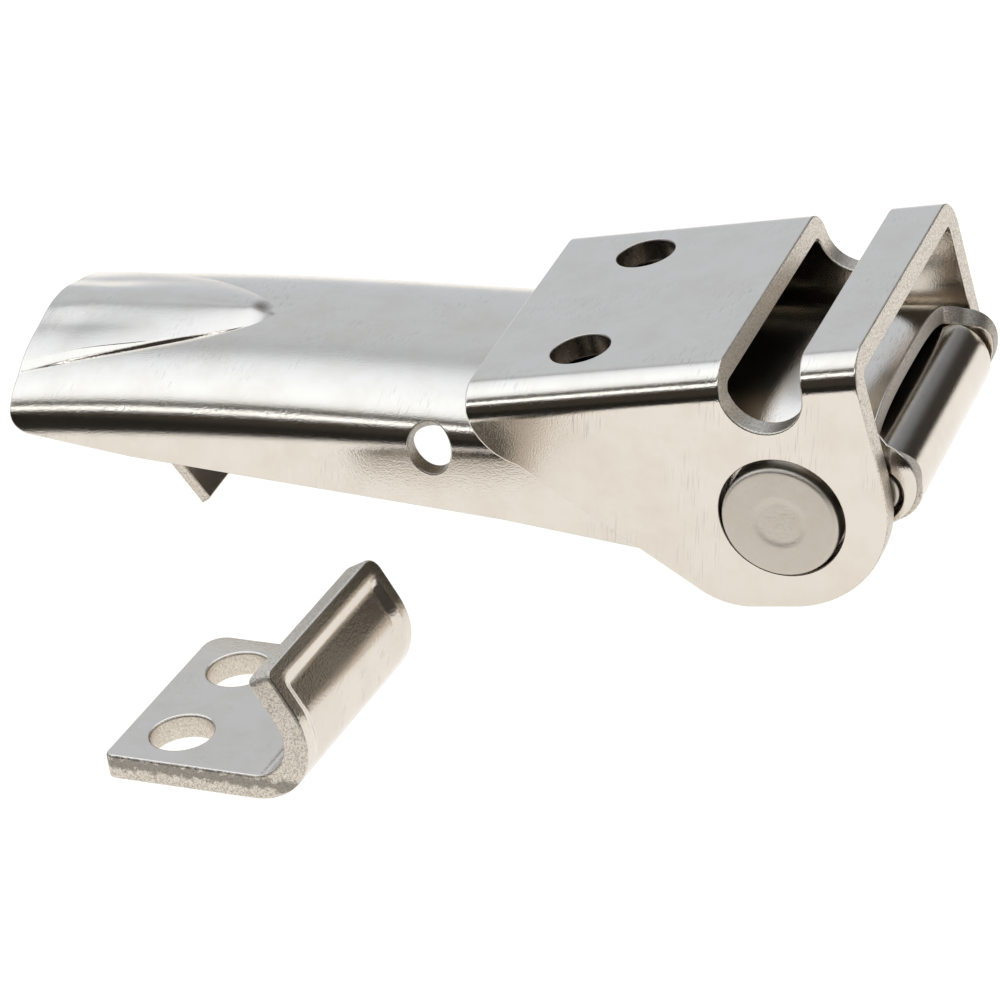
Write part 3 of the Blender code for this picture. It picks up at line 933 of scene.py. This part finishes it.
def subdivided_path(path, step):
    """An open path with its long edges split."""
    points = [path[0]]
    for here, there in zip(path, path[1:]):
        count = max(1, math.ceil(np.linalg.norm(there - here) / step))
        points += [here + (there - here) * i / count for i in range(1, count + 1)]
    return np.array(points)


class LATCH_OT_catch(LatchPiece, bpy.types.Operator):
    """Press the catch plate: plate with two holes, bend and leaning lip with a recess"""

    bl_idname = "latch.catch"
    bl_label = "Catch Plate"

    def execute(self, context):
        sizes, looks = context.scene.latch_catch, self.looks(context)
        bend, wide, lip = sizes.bend / MM, sizes.width / MM, sizes.lip / MM
        flat, lean = 11.8, 28.0
        curve = arc((flat, bend), bend, -90, lean, 40)
        along = np.array((-math.sin(math.radians(lean)), math.cos(math.radians(lean))))
        path = np.concatenate([[(0, 0)], curve, [curve[-1] + along * lip]])
        fold, gone = path_fold(subdivided_path(path, 0.3), -1)
        total, side = gone[-1], wide / 2
        outline = np.concatenate([
            arc((1.6, 1.6 - side), 1.6, 180, 270, 8), arc((total - 1.3, 1.3 - side), 1.3, -90, 0, 8),
            arc((total - 0.6, side - 0.6), 0.6, 0, 90, 5), arc((0.7, side - 0.7), 0.7, 90, 180, 5),
        ])
        hole = sizes.hole / 2 / MM
        holes = [ellipse((4.3, across), hole, hole) for across in (-4.375, 4.375)]
        loops = [subdivided(loop, 0.4) for loop in (outline, *holes)]
        margin, soft, depth = 0.95, 1.1, sizes.recess / MM
        first = flat + math.radians(60) * bend

        def relief(blank):
            """The recess: even along the lip's top and sides, and fading into the bend."""
            s, across = blank.T
            sides = smooth(side - margin - np.abs(across), 0, soft)
            return depth * sides * smooth(total - margin - s, 0, soft) * smooth(s, first, first + 3.2)

        made = pressed_sheet(
            "catch_plate_shell", loops, fold, sizes.sheet / MM, sizes.rim / MM,
            np.r_[np.arange(0.5, flat, 0.6), np.arange(flat, total, 0.24)],
            np.r_[np.arange(-side, 2.2 - side, 0.2), np.arange(2.4 - side, side - 2.2, 0.7),
                  np.arange(side - 2.2, side, 0.2)],
            relief, bored=1,
        )
        shine = nickel("bright_nickel_catch", looks.bright, looks.stain, 0.14, peel=0.0002,
                       bump=0.00001, specks=0.8, rubs=0.2, film=0.3, film_size=0.004)
        edge = sheared_nickel("sheared_nickel_catch", looks.sheared, bump=0.00006, torn_at=0.0014)
        wall = sheared_nickel("drilled_nickel_catch", looks.sheared, even=0.6)
        low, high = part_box("catch_plate")
        corner = Vector((low.x, high.y - sizes.width * math.cos(sizes.turn), 0))
        middle = Matrix.Translation((0, sizes.width / 2, 0))
        place = Matrix.Translation(corner) @ Matrix.Rotation(sizes.turn, 4, "Z") @ middle
        settle(made, place, "catch_plate", "catch", [shine, edge, wall])
        return {"FINISHED"}


class LATCH_OT_journals(LatchPiece, bpy.types.Operator):
    """Turn the two journal rivets, each with a dimple in its face"""

    bl_idname = "latch.journals"
    bl_label = "Journal Rivets"

    def execute(self, context):
        sizes, looks = context.scene.latch_pins, self.looks(context)
        radius, face, shank = sizes.journal / MM, sizes.journal_face / MM, sizes.shank / MM
        dimple, shoulder, staked = sizes.dimple / MM, 11.65, 10.1
        edge = 0.35
        sunk = 0.09
        profile = [(0, face - sunk)]
        profile += [(dimple * s, face - sunk * (1 - smooth(s, 0.72, 1.0)))
                    for s in np.linspace(0.05, 1.0, 24)]
        profile += [(r, face) for r in np.linspace(dimple + 0.12, radius - edge, 10)]
        profile += [tuple(p) for p in arc((radius - edge, face - edge), edge, 90, 0, 7)[1:]]
        profile += [(radius, shoulder + 0.1), (radius - 0.1, shoulder), (shank, shoulder), (shank, staked)]
        profile += [(0, staked)]

        def ripple(x, z):
            """Uneven bottom of the dimple and slightly worn face."""
            spot = Vector((x, 0, z))
            share = max(0.0, 1 - (math.hypot(x, z) / dimple) ** 6)
            return -0.035 * share * abs(noise.noise(spot * 3.1)) - 0.006 * abs(noise.noise(spot))

        shine = nickel("satin_nickel_journal", looks.satin, looks.stain, 0.42, peel=0.0002,
                       bump=0.000012, specks=0.7, rubs=0.1, film=0.5, film_size=0.002)
        tilt = context.scene.latch_lever.tilt
        for word, turn in (("far", 0.0), ("near", math.pi)):
            made = turned("journal_rivet_" + word + "_turned", profile, 96, ripple)
            place = at_joint("lever_pivot", tilt) @ Matrix.Rotation(turn, 4, "Z")
            settle(made, place, "journal_rivet_" + word, "lever", [shine])
        return {"FINISHED"}


class LATCH_OT_hook_pin(LatchPiece, bpy.types.Operator):
    """Turn the hook pin, with rounded ends"""

    bl_idname = "latch.hook_pin"
    bl_label = "Hook Pin"

    def execute(self, context):
        sizes, looks = context.scene.latch_pins, self.looks(context)
        radius, end, edge = sizes.pin / MM, sizes.pin_half / MM, 0.3
        cap = [(r, end - 0.06 * (r / radius) ** 2) for r in np.linspace(0, radius - edge, 6)]
        cap += [tuple(p) for p in arc((radius - edge, end - edge - 0.06), edge, 90, 0, 6)[1:]]
        profile = cap + [(r, -y) for r, y in reversed(cap)]
        made = turned("hook_pin_turned", profile, 64)
        shine = nickel("satin_nickel_pin", looks.satin, looks.stain, 0.3, bump=0.000008, film_size=0.002)
        settle(made, at_joint("hook_pivot", 0), "hook_pin", "lever", [shine])
        return {"FINISHED"}


# ---------------------------------------------------------------- stage


def studio_sky(world, back, side):
    """A light tent: grey wall behind, bright roof, dark front with one thin lamp."""
    world.use_nodes = True
    tree = world.node_tree
    link = tree.links.new
    ground = tree.nodes["Background"]
    where = node(tree, "TexCoord")
    parts = node(tree, "SeparateXYZ")
    link(where.outputs["Generated"], parts.inputs[0])

    def along(direction):
        made = node(tree, "VectorMath", operation="DOT_PRODUCT", in1=direction)
        link(where.outputs["Generated"], made.inputs[0])
        return made

    depth = along(back)
    swing = node(tree, "Math", operation="ARCTAN2")
    link(parts.outputs["Z"], swing.inputs[0])
    link(depth.outputs["Value"], swing.inputs[1])
    share = node(tree, "MapRange", in1=0.0, in2=math.pi, in3=0.0, in4=1.0)
    link(swing.outputs[0], share.inputs[0])
    wall, dark, lamp, roof = (0.71, 0.77, 0.86), (0.05, 0.044, 0.036), (2.3, 2.4, 2.5), (1.42, 1.54, 1.68)
    tent = ramp(tree, [
        (0.0, wall), (0.185, wall), (0.228, (0.50, 0.55, 0.62)), (0.245, (0.90, 0.98, 1.1)),
        (0.3, (1.21, 1.32, 1.48)), (0.37, (1.34, 1.46, 1.62)), (0.43, roof), (0.5, roof),
        (0.57, (1.22, 1.3, 1.38)), (0.605, (0.3, 0.3, 0.3)), (0.62, (0.09, 0.09, 0.085)),
        (0.68, (0.1, 0.1, 0.1)), (0.692, lamp), (0.732, lamp), (0.748, (0.14, 0.12, 0.1)), (0.79, dark),
        (1.0, dark),
    ])
    link(share.outputs[0], tent.inputs[0])
    right = along(side)
    flank = ramp(tree, [(0.0, 0.0), (0.12, 0.0), (0.42, 1.0), (1.0, 1.0)])
    link(right.outputs["Value"], flank.inputs[0])
    low = node(tree, "MapRange", in1=0.4, in2=0.75, in3=1.0, in4=0.0)
    link(parts.outputs["Z"], low.inputs[0])
    both = node(tree, "Math", operation="MULTIPLY")
    link(flank.outputs[0], both.inputs[0])
    link(low.outputs[0], both.inputs[1])
    curtain = ramp(tree, [(0.0, (1.0, 0.98, 0.95)), (0.04, (1.0, 0.98, 0.95)), (0.08, (0.05, 0.045, 0.04)),
                          (1.0, (0.05, 0.045, 0.04))])
    link(parts.outputs["Z"], curtain.inputs[0])
    mix = node(tree, "Mix", data_type="RGBA")
    link(both.outputs[0], mix.inputs[0])
    link(tent.outputs[0], mix.inputs[6])
    link(curtain.outputs[0], mix.inputs[7])
    link(mix.outputs[2], ground.inputs["Color"])


class LATCH_OT_stage(bpy.types.Operator):
    """Set the camera, the pale floor and the soft studio light"""

    bl_idname = "latch.stage"
    bl_label = "Stage"

    def execute(self, context):
        scene, looks = context.scene, context.scene.latch_stage
        level, turn, roll = looks.height_angle, looks.turn, looks.roll
        toward = Vector(
            (math.sin(turn) * math.cos(level), -math.cos(turn) * math.cos(level), math.sin(level))
        )
        right = Vector((math.cos(turn), math.sin(turn), 0))
        up = toward.cross(right)
        across = right * math.cos(roll) + up * math.sin(roll)
        above = -right * math.sin(roll) + up * math.cos(roll)
        foot = Vector(JOINTS["lever_pivot"]["pos_m"])
        foot.z = 0
        place = foot + toward * looks.distance + across * looks.aim_right + above * looks.aim_up
        lens = bpy.data.cameras.new("studio_camera")
        lens.lens = looks.lens
        lens.sensor_width = 36
        lens.clip_start = 0.01
        camera = bpy.data.objects.new("studio_camera", lens)
        camera.matrix_world = Matrix((
            (across.x, above.x, toward.x, place.x),
            (across.y, above.y, toward.y, place.y),
            (across.z, above.z, toward.z, place.z),
            (0, 0, 0, 1),
        ))
        scene.collection.objects.link(camera)
        scene.camera = camera
        self.floor(scene, looks)
        world = bpy.data.worlds.new("studio_sky")
        scene.world = world
        studio_sky(world, (-math.sin(turn), math.cos(turn), 0), tuple(right))
        self.lamps(scene)
        self.flag(scene, looks)
        scene.view_settings.view_transform = "Standard"
        return {"FINISHED"}

    def floor(self, scene, looks):
        mesh = bpy.data.meshes.new("pale_floor")
        reach = 3.0
        mesh.from_pydata([(-reach, -reach, 0), (reach, -reach, 0), (reach, reach, 0), (-reach, reach, 0)],
                         [], [(0, 1, 2, 3)])
        floor = bpy.data.objects.new("pale_floor", mesh)
        scene.collection.objects.link(floor)
        paint = bpy.data.materials.new("pale_floor")
        paint.use_nodes = True
        shader = paint.node_tree.nodes["Principled BSDF"]
        shader.inputs["Base Color"].default_value = (0.16, 0.158, 0.155, 1)
        shader.inputs["Roughness"].default_value = 0.9
        shader.inputs["Specular IOR Level"].default_value = 0.0
        shader.inputs["Emission Color"].default_value = (*looks.floor, 1)
        shader.inputs["Emission Strength"].default_value = 1.0
        mesh.materials.append(paint)
        floor.location.z = -0.00002

    def lamps(self, scene):
        roof = bpy.data.lights.new("roof_softbox", "AREA")
        roof.shape = "RECTANGLE"
        roof.size, roof.size_y, roof.energy = 0.5, 0.35, 0.6
        lamp = bpy.data.objects.new("roof_softbox", roof)
        lamp.location = (0.0, 0.05, 0.6)
        lamp.visible_glossy = False
        scene.collection.objects.link(lamp)

    def flag(self, scene, looks):
        """A low black flag round the front, which only the plating's reflections see."""
        mesh = bpy.data.meshes.new("black_flag")
        ring = arc((0, 0), looks.flag_radius, 190, 330, 60)
        count = len(ring)
        verts = [(x, y, z) for z in (0.0, looks.flag_height) for x, y in ring]
        faces = [(i, i + 1, count + i + 1, count + i) for i in range(count - 1)]
        mesh.from_pydata(verts, [], faces)
        flag = bpy.data.objects.new("black_flag", mesh)
        scene.collection.objects.link(flag)
        cloth = bpy.data.materials.new("black_flag")
        cloth.use_nodes = True
        shader = cloth.node_tree.nodes["Principled BSDF"]
        shader.inputs["Base Color"].default_value = (0.02, 0.018, 0.015, 1)
        shader.inputs["Roughness"].default_value = 1.0
        shader.inputs["Specular IOR Level"].default_value = 0.0
        mesh.materials.append(cloth)
        flag.visible_camera = False
        flag.visible_diffuse = False
        flag.visible_shadow = False


# ---------------------------------------------------------------- panel and run

OPERATORS = (
    LATCH_OT_stage,
    LATCH_OT_bracket,
    LATCH_OT_lever,
    LATCH_OT_drawbar,
    LATCH_OT_catch,
    LATCH_OT_journals,
    LATCH_OT_hook_pin,
)


class LATCH_PT_panel(bpy.types.Panel):
    """Lists the latch's pieces, with their sizes and looks"""

    bl_idname = "LATCH_PT_panel"
    bl_label = "Toggle Latch"
    bl_space_type = "VIEW_3D"
    bl_region_type = "UI"
    bl_category = "Toggle Latch"

    def draw(self, context):
        for operator in OPERATORS:
            self.layout.operator(operator.bl_idname)
        for name in SETTINGS:
            box = self.layout.box()
            group = getattr(context.scene, name)
            for key in group.bl_rna.properties.keys():
                if key not in {"rna_type", "name"}:
                    box.prop(group, key)


def register():
    for kind in (*SETTINGS.values(), *OPERATORS, LATCH_PT_panel):
        bpy.utils.register_class(kind)
    for name, kind in SETTINGS.items():
        setattr(bpy.types.Scene, name, bpy.props.PointerProperty(type=kind))


def unregister():
    for name in SETTINGS:
        delattr(bpy.types.Scene, name)
    for kind in (LATCH_PT_panel, *reversed(OPERATORS), *reversed(SETTINGS.values())):
        bpy.utils.unregister_class(kind)


def main():
    register()
    for operator in OPERATORS:
        group, name = operator.bl_idname.split(".")
        getattr(getattr(bpy.ops, group), name)()


if __name__ == "__main__":
    main()
